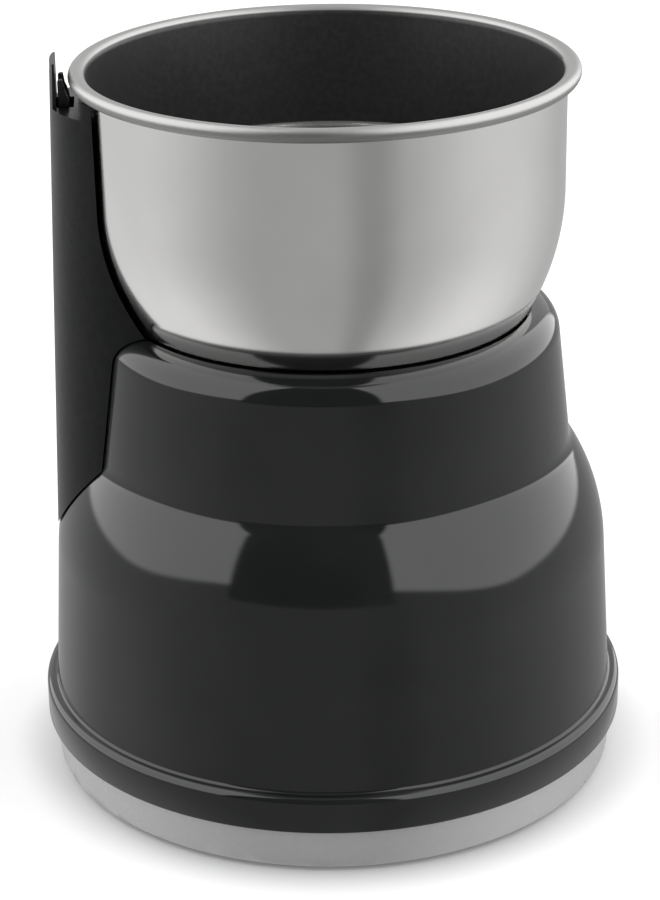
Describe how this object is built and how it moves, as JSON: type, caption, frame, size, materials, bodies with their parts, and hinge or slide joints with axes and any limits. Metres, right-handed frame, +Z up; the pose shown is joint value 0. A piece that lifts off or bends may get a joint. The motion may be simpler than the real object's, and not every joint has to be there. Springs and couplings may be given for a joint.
{
  "type": "electric spice grinder",
  "caption": "Upright motor housing with a lift-out steel grinding cup, a spinning two-wing blade and a sprung switch rod in a side column.",
  "frame": {"origin": "centre of the round foot circle, on the table surface", "axes": "+Z up along the motor axis, -X towards the switch column, +Y towards the cord inlet"},
  "size_m": [0.108, 0.108, 0.1335],
  "materials": {
    "shell": "high-gloss anthracite",
    "column": "satin anthracite",
    "plate": "light grey satin",
    "rubber": "matt black",
    "steel_polished": "polished stainless steel outside, dark coating inside",
    "steel": "plain steel",
    "bronze": "sintered bronze",
    "black_plastic": "matt black",
    "white_plastic": "natural nylon",
    "laminated": "stacked electrical steel",
    "copper": "enamelled copper wire",
    "carbon": "pressed carbon",
    "film": "moulded film capacitor",
    "lead": "insulated lead"
  },
  "bodies": {
    "housing": {"motor_housing": "shell", "switch_column": "column", "base_plate": "plate", "rubber_feet": "rubber", "base_screws": "steel", "column_screws": "steel", "cord_inlet_bush": "rubber", "shaft_seal": "rubber", "upper_bearing": "bronze", "lower_bearing": "bronze", "stator_core": "laminated", "field_coils": "copper", "upper_bracket": "steel", "lower_bracket": "black_plastic", "motor_bolts": "steel", "motor_screws": "steel", "motor_mounts": "rubber", "brush_holders": "white_plastic", "carbon_brushes": "carbon", "brush_springs": "steel", "push_switch_body": "black_plastic", "button_spring": "steel", "switch_terminals": "steel", "switch_bracket": "steel", "bracket_screws": "steel", "switch_screws": "steel", "capacitor": "film", "lead_wires": "lead"},
    "cup": {"steel_cup": "steel_polished", "spindle_bush": "bronze", "spindle_seal": "rubber", "bush_nut": "steel"},
    "blade": {"blade": "steel", "blade_washer": "steel", "blade_nut": "steel", "blade_spindle": "steel", "cup_coupling": "black_plastic"},
    "rotor": {"motor_shaft": "steel", "rotor_core": "laminated", "rotor_winding": "copper", "commutator": "copper", "cooling_fan": "white_plastic", "drive_coupling": "black_plastic"},
    "rod": {"switch_rod": "black_plastic", "push_switch_button": "white_plastic"}
  },
  "joints": [
    {"name": "cup_lift", "type": "slide", "parent": "housing", "child": "cup", "axis": [0, 0, 1], "range_m": [0, 0.06]},
    {"name": "blade_spin", "type": "hinge", "parent": "cup", "child": "blade", "pos_m": [0, 0, 0.09], "axis": [0, 0, 1], "continuous": true},
    {"name": "motor_spin", "type": "hinge", "parent": "housing", "child": "rotor", "pos_m": [0, 0, 0.04], "axis": [0, 0, 1], "continuous": true},
    {"name": "rod_press", "type": "slide", "parent": "housing", "child": "rod", "axis": [0, 0, -1], "range_m": [0, 0.003], "stiffness_N_per_m": 300, "springref_m": -0.002, "deforming": ["button_spring"]}
  ],
  "couplings": [
    {"joint": "blade_spin", "follows": "motor_spin", "ratio": 1}
  ]
}
